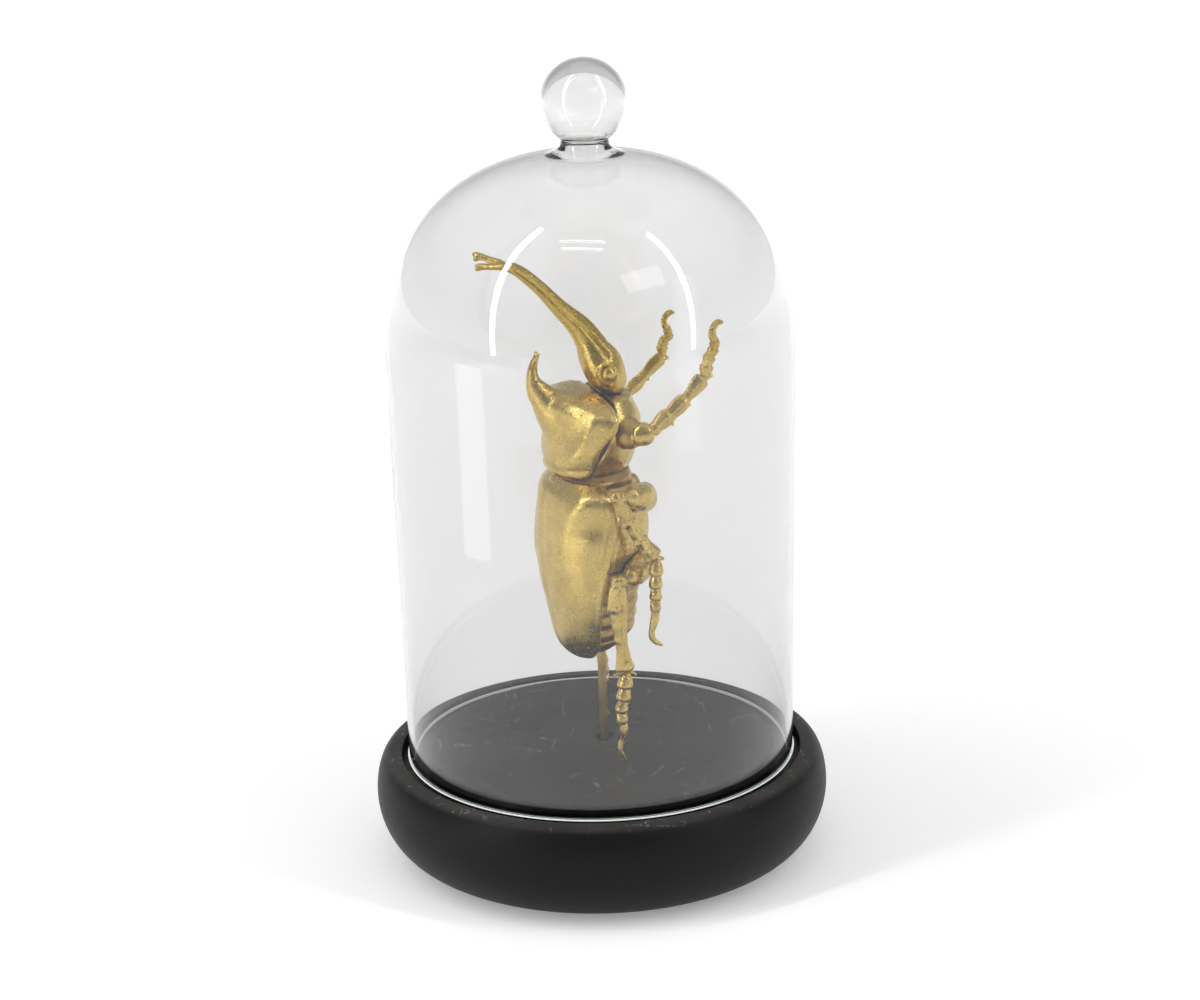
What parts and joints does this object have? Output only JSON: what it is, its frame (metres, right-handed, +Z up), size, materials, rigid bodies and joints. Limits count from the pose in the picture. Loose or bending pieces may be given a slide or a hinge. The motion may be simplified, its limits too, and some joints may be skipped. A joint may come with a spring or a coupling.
{
  "type": "gilded rhinoceros beetle specimen under a glass dome",
  "caption": "Gilded horned beetle standing upright on a thin brass rod, under a round-topped glass dome with a ball knob, on a low turned dark wooden base.",
  "frame": {"origin": "centre of the flat underside of the base", "axes": "+Z up along the dome's axis; the picture looks along +Y with +X to the right; the beetle's belly faces +X, turned 18 degrees toward +Y, and its head points up"},
  "size_m": [0.0846, 0.0846, 0.1487],
  "materials": {
    "gold": "gold leaf and plating over the dried beetle, satin bright, fine-grained",
    "gold_deep": "the same gilding, darker in the hollows under the body and at the hips",
    "rod_brass": "drawn brass wire, satin",
    "ebonised_wood": "black stain and satin lacquer, lightly dusty on the flat top",
    "dome_glass": "clear blown soda-lime glass"
  },
  "bodies": {
    "root": {"base": "ebonised_wood", "glass_dome": "dome_glass", "mount_rod": "rod_brass", "elytron_right": "gold", "elytron_left": "gold", "scutellum": "gold", "mesothorax": "gold_deep", "metathorax": "gold", "abdomen": "gold_deep", "pronotum": "gold", "prosternum": "gold", "head_with_horn": "gold", "eye_right": "gold", "eye_left": "gold", "front_right_coxa": "gold_deep", "front_right_femur": "gold", "front_right_tibia": "gold", "front_right_tarsus": "gold", "front_left_coxa": "gold_deep", "front_left_femur": "gold", "front_left_tibia": "gold", "front_left_tarsus": "gold", "middle_right_coxa": "gold_deep", "middle_right_femur": "gold", "middle_right_tibia": "gold", "middle_right_tarsus": "gold", "middle_left_coxa": "gold_deep", "middle_left_femur": "gold", "middle_left_tibia": "gold", "middle_left_tarsus": "gold", "hind_right_coxa": "gold_deep", "hind_right_femur": "gold", "hind_right_tibia": "gold", "hind_right_tarsus": "gold", "hind_left_coxa": "gold_deep", "hind_left_femur": "gold", "hind_left_tibia": "gold", "hind_left_tarsus": "gold"}
  },
  "joints": []
}
